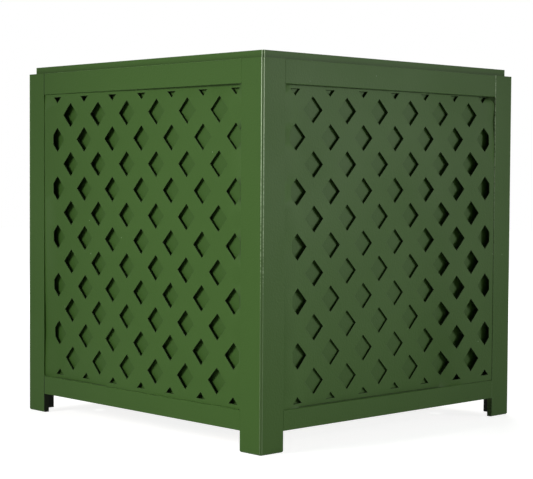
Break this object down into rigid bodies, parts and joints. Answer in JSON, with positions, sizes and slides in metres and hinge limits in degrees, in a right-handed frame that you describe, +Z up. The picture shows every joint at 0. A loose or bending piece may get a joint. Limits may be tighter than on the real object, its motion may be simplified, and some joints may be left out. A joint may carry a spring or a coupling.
{
  "type": "lattice planter",
  "caption": "Square garden planter with lattice faces framed between angle-shaped legs, around a loose inner box that lifts straight out.",
  "frame": {"origin": "middle of the footprint, on the floor", "axes": "+Z up, -Y out of the front face, +X out of the right face"},
  "size_m": [0.61, 0.61, 0.614],
  "materials": {
    "frame_paint": "satin green exterior paint on boards",
    "lattice_paint": "satin green exterior paint on thin board",
    "box_paint": "satin green exterior paint on boards",
    "bare_timber": "planed softwood, unpainted",
    "zinc_screw": "zinc plated"
  },
  "bodies": {
    "surround": {"front_stile_left": "frame_paint", "front_stile_right": "frame_paint", "front_rail_top": "frame_paint", "front_rail_bottom": "frame_paint", "front_lattice": "lattice_paint", "right_stile_left": "frame_paint", "right_stile_right": "frame_paint", "right_rail_top": "frame_paint", "right_rail_bottom": "frame_paint", "right_lattice": "lattice_paint", "back_stile_left": "frame_paint", "back_stile_right": "frame_paint", "back_rail_top": "frame_paint", "back_rail_bottom": "frame_paint", "back_lattice": "lattice_paint", "left_stile_left": "frame_paint", "left_stile_right": "frame_paint", "left_rail_top": "frame_paint", "left_rail_bottom": "frame_paint", "left_lattice": "lattice_paint", "corner_spline_front_left": "bare_timber", "corner_spline_front_right": "bare_timber", "corner_spline_back_right": "bare_timber", "corner_spline_back_left": "bare_timber", "ledger_front": "bare_timber", "ledger_right": "bare_timber", "ledger_back": "bare_timber", "ledger_left": "bare_timber", "cross_bearer_left": "bare_timber", "cross_bearer_right": "bare_timber", "ledger_screws": "zinc_screw"},
    "inner_box": {"box_wall_front": "box_paint", "box_wall_right": "box_paint", "box_wall_back": "box_paint", "box_wall_left": "box_paint", "box_cap_front": "box_paint", "box_cap_right": "box_paint", "box_cap_back": "box_paint", "box_cap_left": "box_paint", "box_floor": "box_paint", "box_cleat_front": "bare_timber", "box_cleat_right": "bare_timber", "box_cleat_back": "bare_timber", "box_cleat_left": "bare_timber"}
  },
  "joints": [
    {"name": "box_lift", "type": "slide", "parent": "surround", "child": "inner_box", "axis": [0, 0, 1], "range_m": [0, 0.56]}
  ]
}
